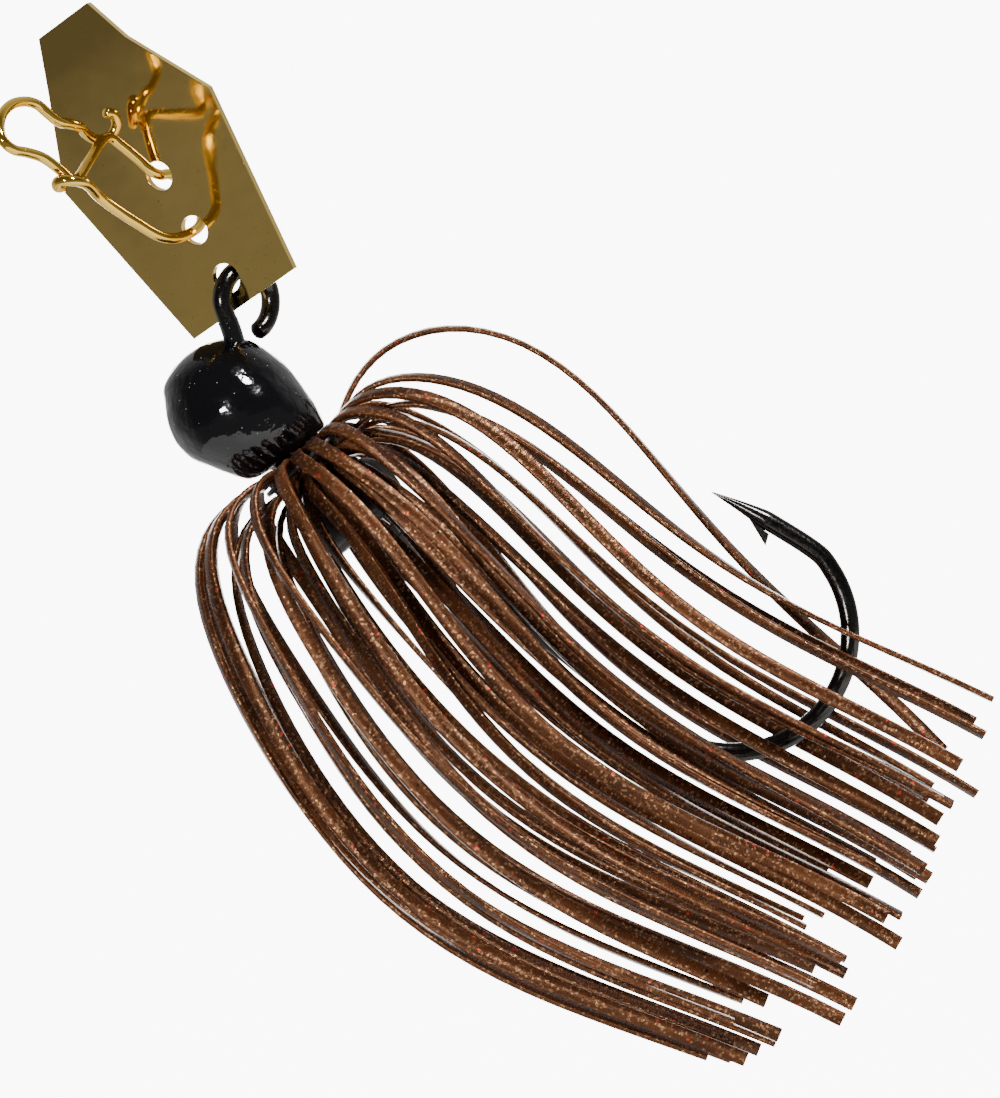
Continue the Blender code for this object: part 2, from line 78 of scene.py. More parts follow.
# snap
SNAP_WIRE = 0.9
SNAP_STEP = 0.3  # how far apart the points of its line are
SNAP_END = 0.35  # how far its cut ends are worn round
LINE_TIE = (17.2, 0.1)
SNAP_ROUTE = (
    (8.5, -4.9, 0.6), (7.5, -5.1, 0.6), (6.8, -4.6, 0.1), (6.9, -3.9, -0.7), (7.8, -3.4, -1.15),
    (9.1, -3.2, -0.95), (10.3, -3.0, -0.35), (11.6, -2.5, 0.0), (13.0, -2.15, 0.0), (14.1, -2.45, 0.0),
    (15.2, -2.8, 0.0), (16.6, -2.45, 0.0), (18.1, -1.3, 0.0), (19.1, 0.6, 0.0), (19.0, 2.4, 0.0),
    (17.9, 3.05, 0.0), (16.2, 2.65, 0.0), (14.6, 2.4, 0.0), (12.9, 2.75, 0.0), (11.7, 3.2, 0.0),
    (10.9, 2.75, 0.0), (9.6, 0.2, 0.0), (8.2, -2.5, 0.0), (7.3, -3.15, 0.0), (6.2, -2.95, 0.0),
    (4.3, -2.35, 0.0), (2.9, -1.8, 0.0), (1.91, -1.91, 0.0), (1.2, -2.35, 0.0), (0.35, -2.5, 0.0),
    (-0.8, -1.95, 0.0), (-1.95, -0.8, 0.0), (-2.5, 0.35, 0.0), (-2.35, 1.2, 0.0), (-1.91, 1.91, 0.0),
    (-1.15, 2.7, 0.0), (0.3, 3.9, 0.0),
    (2.0, 4.55, 0.0), (4.2, 4.4, 0.0), (7.1, 3.95, 0.0), (9.0, 3.75, 0.25), (10.3, 3.85, 0.85),
    (11.4, 4.05, 1.15), (12.5, 4.2, 0.8), (13.0, 4.05, 0.0), (12.4, 3.9, -0.8), (11.5, 3.3, -1.1),
)

# blade
BLADE_THICK = 0.6
PUNCH_REACH = 2.0
NOSE_LENGTH = 4.25
NOSE_BEND = math.radians(-8.0)
BLADE_STATIONS = ((-7.5, 5.0), (0.0, 9.35), (16.3, 6.4))  # how far down, and half how wide
NOSE_HALF = 3.15
SNAP_HOLES = (3.5, 8.9)
EYE_HOLE = 13.7
# where each hole is and its radius, which leaves the round wires room to swing
BLADE_HOLES = ((SNAP_HOLES[0], 1.26), (SNAP_HOLES[1], 1.26), (EYE_HOLE, 1.3))
PIVOT_U = sum(SNAP_HOLES) / 2
BLADE_EDGE = 0.11  # how wide the worn round of its edges is

# hook
HOOK_WIRE = 1.6
HOOK_STEP = 0.4
HOOK_END = 0.5
EYE_R = 2.8
EYE_CENTRE = Vector((-4.26, 5.46, 0.0))
EYE_UP = math.radians(130.0)
EYE_TWIST = math.radians(45.0)
EYE_END = -66.0  # degrees round the eye: its cut end, where it meets the blade, and where the stem leaves it
EYE_AT_BLADE = 133.0
EYE_STEM = 186.0
EYE_PARTS = 20
EYE_OFFSET = 0.2  # how far to the side of the blade's middle the wire passes through its hole
STEM_ROUTE = ((-2.95, 2.35, 1.25), (-1.4, 0.75, 0.75), (1.2, -0.45, 0.2))
SHANK_START = Vector((5.0, -0.6, 0.0))
BEND_START = Vector((44.6, 0.3, 0.0))
BEND_CENTRE = Vector((44.6, 10.2, 0.0))
BEND_R = 9.9
BEND_SWEEP = 172.0
BEND_PARTS = 18
POINT_ROUTE = ((42.0, 19.55, 0.0), (39.0, 19.0, 0.0))
POINT_TIP = Vector((35.7, 18.2, 0.0))
POINT_LENGTH = 5.0
POINT_BLUNT = 0.06  # the very point's radius, as a share of the wire's
FORGED = 0.86  # the bend's thickness as a share of the wire's
FORGED_FROM = 30.0  # where down the shank the forging starts, and how far it takes to come in
FORGED_OVER = 12.0
FORGED_BELOW = 15.0  # the shank's side of the bend, which is forged only past FORGED_FROM
BARB_AT = Vector((41.6, 18.9, 0.0))
BARB_LENGTH = 2.2
BARB_HEIGHT = 0.5
BARB_LEAN = 0.3  # how far its peak leans back, and its foot stands in from the wire's middle
BARB_TOE = 0.1
BARB_HALF = 0.34  # half its thickness at the foot
BARB_PEAK_SHARE = 0.4  # its peak's thickness as a share of that

# head
# rows of s, p, tilt in degrees, half height and half width
HEAD_FRONT = (-5.35, -2.85, 3.0, 0.02, 0.02)
HEAD_RINGS = (
    HEAD_FRONT, (-5.05, -2.75, 4, 1.75, 1.75), (-4.25, -2.3, 3, 3.1, 3.1), (-2.8, -1.95, 1, 4.6, 4.45),
    (-1.0, -2.0, 0, 5.35, 5.25), (1.0, -2.05, -2, 5.5, 5.6), (3.0, -1.95, -6, 5.15, 5.4),
    (4.8, -1.95, -10, 4.6, 4.85), (6.0, -2.0, -12, 4.1, 4.2), (6.5, -1.95, -13, 3.75, 3.8),
    (6.7, -1.95, -13, 3.25, 3.3), (6.75, -1.9, -12, 2.3, 2.3),
)
HEAD_SIDES = 72
HEAD_ROWS = 70
HEAD_LUMPS = 0.07  # how far the thick paint's surface wanders
LUMP_NOISES = ((0.32, 2.0), (0.9, 0.5))  # how fine each noise in it is, and its share
HEAD_LUMPS_FULL = 3.0  # the head's half height from which the lumps have their full size
# the part of the stem that the climbing enamel covers: between these s, below this p and beyond this v
MENISCUS_S = (-4.4, -1.2)
MENISCUS_P = 3.6
MENISCUS_V = 0.6
MENISCUS_STEP = 0.15
MENISCUS_THICK = 0.05
MENISCUS_FLARE = 0.75
MENISCUS_FLARE_FROM = 0.25  # the share of its length after which it flares

# skirt
SKIRT_CENTRE = Vector((7.05, -1.35, 0.0))
SKIRT_TILT = math.radians(-8.0)
SPIGOT_R = 2.25
SPIGOT_END = 2.8
SPIGOT_ROUND = 0.2
BAND = (4.1, 4.4, 0.9, 1.3)  # inner and outer radius, start and end
BAND_ROUND = 0.1
COLLAR_STEP = 0.25
COLLAR_RIBS = 16
RIB_SHARE = 0.012  # how deep the grooves between the ribs are, as a share of the radius
COLLAR_PROFILE = (
    (3.4, 2.0), (3.55, 2.6), (4.0, 3.6), (4.8, 4.35), (5.8, 4.65), (7.5, 4.65), (8.1, 4.4), (8.3, 3.9),
    (8.7, 3.6), (8.9, 3.0), (8.9, 2.2),
)
KEEPER = (16.9, 21.7)
KEEPER_R = 1.4
KEEPER_BARBS = 2
KEEPER_BARB_HEIGHT = 0.45
KEEPER_BARB_AT = 0.45  # where each barb starts, as a share of its own stretch of the sleeve
KEEPER_BARB_RISE = 0.16
KEEPER_BARB_RUN = 0.9
KEEPER_GAP = 0.02
KEEPER_ROUND = 0.15

# strands
STRAND_WIDTH = 1.2
STRAND_THICK = 0.45
STRAND_CORNER = 0.07
STRAND_POINTS = 40
STRAND_CROWDING = 1.5  # above 1, the points crowd towards the root, where the bends are tight
STRAND_START = 0.15
STRAND_TWIST = 1.4  # radians that a strand turns about its own line, at most
STRAND_ROCK = 0.35  # radians that it rocks to and fro besides
ROCK_ALONG = 5.0  # radians of that rocking, and of the sway, from a strand's root to its tip
SWAY_ALONG = 7.0
TURN_EACH = 1.9  # radians from one strand's turn, drift or sway to the next one's, so that no two are alike
DRIFT_EACH = 2.4
SWAY_EACH = 1.7
TWIST_EASE = 6.0  # the turning comes in over the first one part in this many
PATTERN_SHIFT = 7.3  # how much further along the silicone's pattern each strand starts
SKIRT_LENGTH = 65.0
SKIRT_SAG = 3.9
SKIRT_LIFT = 2.2
DEPTH_SHARE = 0.8  # how deep the skirt is along the line of sight, as a share of its height
WANDER = 6.0  # degrees that a strand drifts round the skirt
WAVE = 0.6  # how far a strand sways
FOLD_BACK = 6.5  # how far the widest strands fold forward over the head before they turn down
FOLD_FROM = 8.0  # the flare from which strands fold forward, and how much more flare makes it full
FOLD_OVER = 14.0
CREST_SHARE = 0.6
SHOULDER_AT = 15.5
SHOULDER_SHARE = 1.2
# rings of strands: root radius, where they leave the spigot, first and last angle in degrees, how much the
# angles crowd, and for each strand how wide it flares, how far out its tip is, and how far down it reaches
STRAND_RINGS = (
    (4.36, 0.42, 13.8, 346.2, 0.0, (
        (17.0, 21.0, 64.6), (15.6, 17.0, 65.8), (13.6, 14.2, 66.5), (12.8, 12.5, 68.5), (13.2, 13.0, 66.0),
        (14.0, 13.0, 69.0), (15.5, 14.5, 66.0), (17.5, 16.0, 68.0), (19.2, 17.5, 65.0), (20.4, 17.5, 68.0),
        (20.8, 18.2, 65.5), (20.5, 17.5, 67.5), (20.0, 16.5, 69.0), (19.0, 16.0, 65.5), (18.0, 14.5, 68.5),
        (17.0, 14.5, 69.5), (16.0, 13.5, 67.0), (15.2, 13.0, 70.0), (14.0, 12.5, 68.5), (13.4, 13.5, 66.5),
        (13.5, 14.0, 66.0), (25.0, 14.9, 64.6),
    )),
    (3.55, 2.2, 6.0, 354.0, 0.3, (
        (16.6, 19.4, 65.8), (12.6, 13.5, 67.5), (11.5, 11.5, 69.0), (11.0, 11.5, 65.5), (11.0, 10.5, 70.0),
        (12.0, 12.5, 64.5), (14.0, 13.0, 68.5), (16.2, 15.0, 66.0), (18.0, 15.5, 69.0), (18.4, 16.0, 66.5),
        (17.6, 14.5, 69.5), (16.2, 14.0, 65.0), (14.8, 12.5, 70.0), (13.8, 13.0, 67.5), (12.8, 11.0, 70.0),
        (12.0, 11.5, 66.0), (12.4, 13.0, 69.0), (15.6, 18.0, 64.8),
    )),
    (2.66, 2.85, 22.0, 338.0, 0.3, (
        (10.0, 10.5, 68.5), (8.6, 8.0, 70.0), (8.5, 7.5, 63.0), (8.8, 7.5, 71.5), (10.0, 9.5, 64.0),
        (12.0, 9.5, 72.0), (12.6, 11.0, 61.0), (12.4, 9.5, 72.5), (11.0, 9.0, 70.5), (9.6, 8.0, 66.0),
        (9.2, 7.5, 71.0), (9.0, 8.5, 69.5), (9.8, 9.5, 68.0),
    )),
)


# --- places


def axes_matrix(origin, x, y, z):
    """The matrix that takes a frame's own millimetres to the world's metres."""
    turned = Matrix((x, y, z)).transposed().to_4x4()
    return Matrix.Translation(origin) @ turned @ Matrix.Scale(MM, 4)


def lean_axes(lean):
    down = Vector((math.sin(lean), 0.0, -math.cos(lean)))
    across = Vector((math.cos(lean), 0.0, math.sin(lean)))
    return down, across


def eye_point(degrees):
    side = Vector((math.sin(EYE_UP), -math.cos(EYE_UP), 0.0)) * math.cos(EYE_TWIST)
    side -= Vector((0.0, 0.0, math.sin(EYE_TWIST)))
    up = Vector((math.cos(EYE_UP), math.sin(EYE_UP), 0.0))
    angle = math.radians(degrees)
    return EYE_CENTRE + (side * math.cos(angle) + up * math.sin(angle)) * EYE_R


def place_frames():
    """The matrices of the snap's, the blade's and the jig's own frames."""
    viewer = Vector((0.0, -1.0, 0.0))
    down, across = lean_axes(BLADE_LEAN)
    wide = across * math.cos(BLADE_TURN) + viewer * math.sin(BLADE_TURN)
    normal = viewer * math.cos(BLADE_TURN) - across * math.sin(BLADE_TURN)
    snap_a = normal * math.sin(SNAP_LEAN) - down * math.cos(SNAP_LEAN)
    snap_b = normal * math.cos(SNAP_LEAN) + down * math.sin(SNAP_LEAN)
    pivot = (snap_a * LINE_TIE[0] + snap_b * LINE_TIE[1]) * -MM
    snap = axes_matrix(pivot, snap_a, snap_b, wide)
    blade = axes_matrix(pivot, down, wide, normal)
    shank, upward = lean_axes(SHANK_LEAN)
    hole = blade @ Vector((EYE_HOLE - PIVOT_U, EYE_OFFSET, 0.0))
    turned = axes_matrix(ORIGIN, shank, upward, viewer)
    jig = axes_matrix(hole - turned @ eye_point(EYE_AT_BLADE), shank, upward, viewer)
    return snap, blade, jig


# --- lines and meshes


def line_length(points):
    return sum((b - a).length for a, b in zip(points, points[1:]))


def resample(points, count, crowding=1.0):
    """The same line as count points, evenly spaced, or crowded towards its start by a power above 1."""
    lengths = [0.0]
    for a, b in zip(points, points[1:]):
        lengths.append(lengths[-1] + (b - a).length)
    even, at = [], 0
    for i in range(count):
        wanted = lengths[-1] * (i / (count - 1)) ** crowding
        while at < len(points) - 2 and lengths[at + 1] < wanted:
            at += 1
        share = (wanted - lengths[at]) / max(lengths[at + 1] - lengths[at], 1e-9)
        even.append(points[at].lerp(points[at + 1], min(share, 1.0)))
    return even


def smooth_route(points, step):
    """Points about one step apart on a smooth curve through the given ones."""
    ends = [points[0] * 2 - points[1], *points, points[-1] * 2 - points[-2]]
    fine = []
    for before, a, b, after in zip(ends, ends[1:], ends[2:], ends[3:]):
        reach = (b - a).length
        into = (b - before).normalized() * reach / 3
        out = (after - a).normalized() * reach / 3
        fine += interpolate_bezier(a, a + into, b - out, b, 13)[:-1]
    fine.append(points[-1])
    return resample(fine, max(2, round(line_length(fine) / step)) + 1)


def ellipse(side, other, count):
    """Points round the origin on an ellipse whose half axes are side and other."""
    turns = [math.tau * i / count for i in range(count)]
    return [side * math.cos(turn) + other * math.sin(turn) for turn in turns]


def bridge_rings(builder, rings, capped=False):
    """Faces from each ring of vertices to the next, and over both ends if capped."""
    for lower, upper in zip(rings, rings[1:]):
        for i, vert in enumerate(lower):
            after = (i + 1) % len(lower)
            builder.faces.new((vert, lower[after], upper[after], upper[i]))
    if capped:
        builder.faces.new(rings[0])
        builder.faces.new(rings[-1])


def mesh_piece(name, builder, place, paint, body, nodes=(), sharp=40.0):
    """A piece from a bmesh in one of the three frames, riding its body and standing for its CAD nodes."""
    bmesh.ops.recalc_face_normals(builder, faces=builder.faces)
    mesh = bpy.data.meshes.new(name)
    builder.to_mesh(mesh)
    builder.free()
    mesh.transform(place)
    mesh.shade_smooth()
    mesh.set_sharp_from_angle(angle=math.radians(sharp))
    mesh.materials.append(paint)
    piece = bpy.data.objects.new(name, mesh)
    bpy.context.scene.collection.objects.link(piece)
    if body:
        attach(piece, body)
    if nodes:
        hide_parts(*nodes)
    return piece


def settle(piece, helpers=()):
    """Works the modifiers into the mesh, and takes away the shapes that they used."""
    bpy.context.view_layer.update()
    shaped = piece.evaluated_get(bpy.context.evaluated_depsgraph_get())
    piece.data = bpy.data.meshes.new_from_object(shaped)
    piece.modifiers.clear()
    for helper in helpers:
        bpy.data.objects.remove(helper, do_unlink=True)


def combine(piece, other, operation):
    change = piece.modifiers.new(other.name, "BOOLEAN")
    change.object = other
    change.operation = operation
    change.solver = "EXACT"


def sweep(points, radii, sides=20, flat=None, flats=None):
    """A bmesh swept along points. Where flats is below 1 the ring is squeezed along the direction flat."""
    builder = bmesh.new()
    rings = []
    heading = (points[1] - points[0]).normalized()
    side = heading.orthogonal().normalized()
    for i, point in enumerate(points):
        ahead = (points[min(i + 1, len(points) - 1)] - points[max(i - 1, 0)]).normalized()
        side = heading.rotation_difference(ahead) @ side
        heading = ahead
        other = heading.cross(side)
        ring = [out * radii[i] for out in ellipse(side, other, sides)]
        if flats:
            ring = [out - flat * out.dot(flat) * (1.0 - flats[i]) for out in ring]
        rings.append([builder.verts.new(point + out) for out in ring])
    bridge_rings(builder, rings, True)
    return builder


def rounded_ends(points, radius, cap):
    """Extra points and radii at both ends of a wire, so that its cut ends are worn round."""
    first, last = points[0], points[-1]
    into, out = (points[1] - first).normalized(), (last - points[-2]).normalized()
    worn = ((0.0, 0.55), (0.12, 0.8), (0.4, 0.95))  # how far in, and what share of the radius is left
    middle = [p for p in points if (p - first).length > cap and (p - last).length > cap]
    line = [first + into * cap * along for along, share in worn]
    line += middle + [last - out * cap * along for along, share in reversed(worn)]
    ends = [radius * share for along, share in worn]
    return line, ends + [radius] * len(middle) + ends[::-1]


def turned(profile, origin, axis, sides=64, closed=False):
    """A bmesh turned round an axis from (distance along it, radius) points. A closed profile makes a ring."""
    builder = bmesh.new()
    side = axis.orthogonal().normalized()
    other = axis.cross(side)
    rings = []
    around = ellipse(side, other, sides)
    for along, radius in profile:
        rings.append([builder.verts.new(origin + axis * along + out * radius) for out in around])
    if closed:
        rings.append(rings[0])
    bridge_rings(builder, rings, not closed)
    return builder


# --- materials


class Paint:
    """A material under construction, with short ways to add nodes to it."""

    def __init__(self, name, colour, roughness, metallic=0.0):
        self.material = bpy.data.materials.new(name)
        self.material.use_nodes = True
        self.tree = self.material.node_tree
        self.shader = self.tree.nodes["Principled BSDF"]
        self.set(self.shader, "Base Color", (*colour, 1.0))
        self.set(self.shader, "Roughness", roughness)
        self.set(self.shader, "Metallic", metallic)

    def set(self, node, socket, value):
        node.inputs[socket].default_value = value

    def link(self, source, output, node, socket):
        self.tree.links.new(source.outputs[output], node.inputs[socket])

    def node(self, kind, **values):
        made = self.tree.nodes.new("ShaderNode" + kind)
        for key, value in values.items():
            setattr(made, key, value)
        return made

    def coordinates(self, output="Object", scale=(1.0, 1.0, 1.0)):
        """Coordinates in millimetres, stretched by scale."""
        source = self.node("TexCoord")
        mapping = self.node("Mapping")
        unit = 1.0 if output == "UV" else 1.0 / MM
        self.set(mapping, "Scale", tuple(unit * s for s in scale))
        self.link(source, output, mapping, "Vector")
        return mapping

    def noise(self, where, scale, detail=2.0, roughness=0.5):
        made = self.node("TexNoise")
        self.set(made, "Scale", scale)
        self.set(made, "Detail", detail)
        self.set(made, "Roughness", roughness)
        self.link(where, "Vector", made, "Vector")
        return made

    def range(self, source, output, low, high, to_low=0.0, to_high=1.0):
        made = self.node("MapRange")
        made.interpolation_type = "SMOOTHSTEP"
        for socket, value in (("From Min", low), ("From Max", high), ("To Min", to_low), ("To Max", to_high)):
            self.set(made, socket, value)
        self.link(source, output, made, "Value")
        return made

    def maths(self, operation, first, second):
        """A math node. Each input is a number or a (node, output) pair."""
        made = self.node("Math", operation=operation)
        for socket, value in enumerate((first, second)):
            if isinstance(value, tuple):
                self.link(value[0], value[1], made, socket)
            else:
                self.set(made, socket, value)
        return made

    def mix(self, share, share_output, first, second):
        """A colour between first and second, each a colour or a node whose Result or Color it takes."""
        made = self.node("Mix", data_type="RGBA")
        self.link(share, share_output, made, "Factor")
        for socket, value in ((6, first), (7, second)):
            if isinstance(value, tuple):
                self.set(made, socket, (*value, 1.0))
            else:
                self.tree.links.new(value.outputs[2], made.inputs[socket])
        return made

    def bump(self, source, output, strength, distance, below=None):
        made = self.node("Bump")
        self.set(made, "Strength", strength)
        self.set(made, "Distance", distance * MM)
        self.link(source, output, made, "Height")
        if below:
            self.link(below, "Normal", made, "Normal")
        return made


def gold_material(name, colour, dull):
    """Bright plating: nearly a mirror, with fine pits and a slow waviness."""
    paint = Paint(name, colour, 0.07, 1.0)
    where = paint.coordinates()
    slow = paint.noise(where, 0.35, 1.0)
    fine = paint.noise(where, 9.0, 3.0, 0.6)
    pits = paint.range(paint.noise(where, 3.2, 2.0, 0.7), "Fac", 0.66, 0.74)
    rough = paint.range(fine, "Fac", 0.35, 0.8, 0.05, 0.13)
    paint.link(rough, "Result", paint.shader, "Roughness")
    tint = paint.mix(pits, "Result", colour, dull)
    paint.link(tint, 2, paint.shader, "Base Color")
    wavy = paint.bump(slow, "Fac", 0.25, 0.12)
    pitted = paint.bump(pits, "Result", 0.3, -0.02, wavy)
    grained = paint.bump(fine, "Fac", 0.10, 0.01, pitted)
    paint.link(grained, "Normal", paint.shader, "Normal")
    return paint.material


def nickel_material():
    """Black nickel over forged steel, a little drawn along the wire."""
    paint = Paint("black_nickel", (0.045, 0.042, 0.04), 0.16, 1.0)
    where = paint.coordinates()
    fine = paint.noise(where, 5.0, 4.0, 0.6)
    paint.link(paint.range(fine, "Fac", 0.3, 0.75, 0.1, 0.26), "Result", paint.shader, "Roughness")
    shade = paint.mix(fine, "Fac", (0.03, 0.028, 0.027), (0.07, 0.065, 0.06))
    paint.link(shade, 2, paint.shader, "Base Color")
    paint.link(paint.bump(fine, "Fac", 0.15, 0.03), "Normal", paint.shader, "Normal")
    return paint.material


def black_paint_material():
    """Thick gloss enamel over cast lead, with dust specks held in it."""
    paint = Paint("black_gloss_paint", (0.0015, 0.0015, 0.002), 0.06)
    where = paint.coordinates()
    orange_peel = paint.noise(where, 0.9, 2.0)
    dust = paint.node("TexVoronoi")
    paint.set(dust, "Scale", 1.3)
    paint.link(where, "Vector", dust, "Vector")
    speck = paint.range(dust, "Distance", 0.07, 0.05)
    shade = paint.mix(speck, "Result", (0.0015, 0.0015, 0.002), (0.25, 0.24, 0.22))
    paint.link(shade, 2, paint.shader, "Base Color")
    smear = paint.noise(where, 0.5, 4.0, 0.65)
    paint.link(paint.range(smear, "Fac", 0.4, 0.8, 0.05, 0.2), "Result", paint.shader, "Roughness")
    peel = paint.bump(orange_peel, "Fac", 0.45, 0.2)
    paint.link(paint.bump(speck, "Result", 0.5, 0.03, peel), "Normal", paint.shader, "Normal")
    return paint.material


def rubber_material():
    """Black rubber, a little dusty and uneven."""
    paint = Paint("black_rubber", (0.012, 0.011, 0.011), 0.45)
    where = paint.coordinates()
    fine = paint.noise(where, 4.0, 4.0, 0.6)
    paint.link(paint.range(fine, "Fac", 0.3, 0.8, 0.32, 0.62), "Result", paint.shader, "Roughness")
    shade = paint.mix(fine, "Fac", (0.008, 0.007, 0.007), (0.024, 0.021, 0.02))
    paint.link(shade, 2, paint.shader, "Base Color")
    paint.link(paint.bump(fine, "Fac", 0.25, 0.05), "Normal", paint.shader, "Normal")
    return paint.material


def silicone_material():
    """Cut silicone: brown, faintly clear, cross-grained by the knife, with gold and red glitter in it."""
    paint = Paint("brown_silicone", (0.045, 0.018, 0.009), 0.32)
    paint.set(paint.shader, "Specular Tint", (1.0, 0.5, 0.28, 1.0))
    paint.set(paint.shader, "Specular IOR Level", 0.44)
    paint.set(paint.shader, "Subsurface Weight", 0.36)
    paint.set(paint.shader, "Subsurface Radius", (1.0, 0.28, 0.08))
    paint.set(paint.shader, "Subsurface Scale", 0.7 * MM)
    along = paint.coordinates("UV")
    slow = paint.noise(paint.coordinates("UV", (0.35, 0.12, 1.0)), 1.0, 3.0)
    depth = paint.range(slow, "Fac", 0.36, 0.64)
    tone = paint.mix(depth, "Result", (0.017, 0.005, 0.0018), (0.056, 0.0175, 0.006))
    flakes = paint.node("TexVoronoi")
    paint.set(flakes, "Scale", 1.5)
    paint.link(along, "Vector", flakes, "Vector")
    sort = paint.node("SeparateColor")
    paint.link(flakes, "Color", sort, "Color")
    spot = paint.range(flakes, "Distance", 0.13, 0.10)
    large = paint.range(flakes, "Distance", 0.23, 0.19)
    is_gold = paint.maths("GREATER_THAN", (sort, "Red"), 0.62)
    is_red = paint.maths("LESS_THAN", (sort, "Red"), 0.09)
    is_black = paint.maths("LESS_THAN", (sort, "Green"), 0.06)
    gold = paint.maths("MULTIPLY", (spot, "Result"), (is_gold, "Value"))
    dust = paint.node("TexVoronoi")
    paint.set(dust, "Scale", 5.5)
    paint.link(along, "Vector", dust, "Vector")
    dust_sort = paint.node("SeparateColor")
    paint.link(dust, "Color", dust_sort, "Color")
    glint = paint.maths("GREATER_THAN", (dust_sort, "Blue"), 0.86)
    red = paint.maths("MULTIPLY", (large, "Result"), (is_red, "Value"))
    black = paint.maths("MULTIPLY", (large, "Result"), (is_black, "Value"))
    tone = paint.mix(glint, "Value", tone, (0.2, 0.1, 0.05))
    tone = paint.mix(gold, "Value", tone, (0.6, 0.36, 0.17))
    tone = paint.mix(red, "Value", tone, (0.42, 0.03, 0.02))
    tone = paint.mix(black, "Value", tone, (0.006, 0.005, 0.005))
    paint.link(tone, 2, paint.shader, "Base Color")
    flecks = paint.maths("MAXIMUM", (gold, "Value"), (red, "Value"))
    glitter = paint.maths("MAXIMUM", (flecks, "Value"), (glint, "Value"))
    paint.link(paint.maths("MULTIPLY", (glitter, "Value"), 0.7), "Value", paint.shader, "Metallic")
    grain = paint.noise(paint.coordinates("UV", (2.4, 8.5, 1.0)), 1.0, 3.0, 0.65)
    paint.link(paint.range(grain, "Fac", 0.3, 0.75, 0.2, 0.4), "Result", paint.shader, "Roughness")
    cut = paint.bump(grain, "Fac", 0.65, 0.06)
    tilted = paint.bump(dust_sort, "Red", 0.4, 0.04, cut)
    paint.link(tilted, "Normal", paint.shader, "Normal")
    return paint.material


# --- snap and blade


def make_snap(place, paint):
    route = smooth_route([Vector(p) for p in SNAP_ROUTE], SNAP_STEP)
    line, radii = rounded_ends(route, SNAP_WIRE / 2, SNAP_END)
    return mesh_piece("snap_wire", sweep(line, radii), place, paint, "snap", ["snap"], 60.0)


def make_blade(place, paint):
    """The bent plate with its three punched holes, every edge worn slightly round."""
    builder = bmesh.new()
    half = BLADE_THICK / 2
    outline = [*BLADE_STATIONS, *((u, -w) for u, w in reversed(BLADE_STATIONS))]
    bend_u = BLADE_STATIONS[0][0]
    layers = []
    for side in (half, -half):
        tip_u = bend_u - PIVOT_U - NOSE_LENGTH * math.cos(NOSE_BEND) + side * math.sin(NOSE_BEND)
        tip_n = NOSE_LENGTH * math.sin(NOSE_BEND) + side * math.cos(NOSE_BEND)
        crease = bend_u - PIVOT_U + side * math.tan(NOSE_BEND / 2)
        plate = [builder.verts.new((crease if u == bend_u else u - PIVOT_U, w, side)) for u, w in outline]
        nose = [builder.verts.new((tip_u, w, tip_n)) for w in (-NOSE_HALF, NOSE_HALF)]
        builder.faces.new(plate)
        builder.faces.new((plate[-1], nose[0], nose[1], plate[0]))
        layers.append(plate + nose)
    bridge_rings(builder, layers)
    blade = mesh_piece("blade_plate", builder, place, paint, "blade", ["blade"])
    punches = []
    for i, (u, radius) in enumerate(BLADE_HOLES):
        centre = Vector((u - PIVOT_U, 0.0, 0.0))
        punch = turned(((-PUNCH_REACH, radius), (PUNCH_REACH, radius)), centre, OUT_OF_FLAT)
        punches.append(mesh_piece(f"punch_{i + 1}", punch, place, paint, None))
        combine(blade, punches[-1], "DIFFERENCE")
    rounding = blade.modifiers.new("worn_edges", "BEVEL")
    rounding.width = BLADE_EDGE * MM
    rounding.segments = 3
    rounding.limit_method = "ANGLE"
    rounding.angle_limit = math.radians(30.0)
    rounding.harden_normals = True
    settle(blade, punches)
    return blade


# --- hook


def hook_route(step):
    """The wire's centreline from the eye's cut end to the point, in the jig's frame."""
    eye = [eye_point(EYE_END + (EYE_STEM - EYE_END) * i / EYE_PARTS) for i in range(EYE_PARTS + 1)]
    stem = [Vector(p) for p in STEM_ROUTE]
    shank = [SHANK_START, SHANK_START.lerp(BEND_START, 0.1), SHANK_START.lerp(BEND_START, 0.9)]
    bend = []
    for i in range(BEND_PARTS + 1):
        angle = math.radians(-90.0 + BEND_SWEEP * i / BEND_PARTS)
        bend.append(BEND_CENTRE + Vector((math.cos(angle), math.sin(angle), 0.0)) * BEND_R)
    point = [Vector(p) for p in POINT_ROUTE]
    return smooth_route([*eye, *stem, *shank, *bend, *point, POINT_TIP], step)


def barb_wedge():
    """A sliver with its foot in the wire, its peak inside the bend, and its toe towards the tip."""
    along = (POINT_TIP - BARB_AT).normalized()
    inward = Vector((-along.y, along.x, 0.0))
    foot = BARB_AT + inward * BARB_LEAN
    peak = BARB_AT + inward * (HOOK_WIRE / 2 + BARB_HEIGHT) - along * BARB_LEAN
    toe = BARB_AT + along * BARB_LENGTH + inward * BARB_TOE
    builder = bmesh.new()
    layers = []
    for half in (BARB_HALF, -BARB_HALF):
        aside = OUT_OF_FLAT * half
        corners = (foot + aside, peak + aside * BARB_PEAK_SHARE, toe + aside)
        layers.append([builder.verts.new(corner) for corner in corners])
    bridge_rings(builder, layers, True)
    return builder


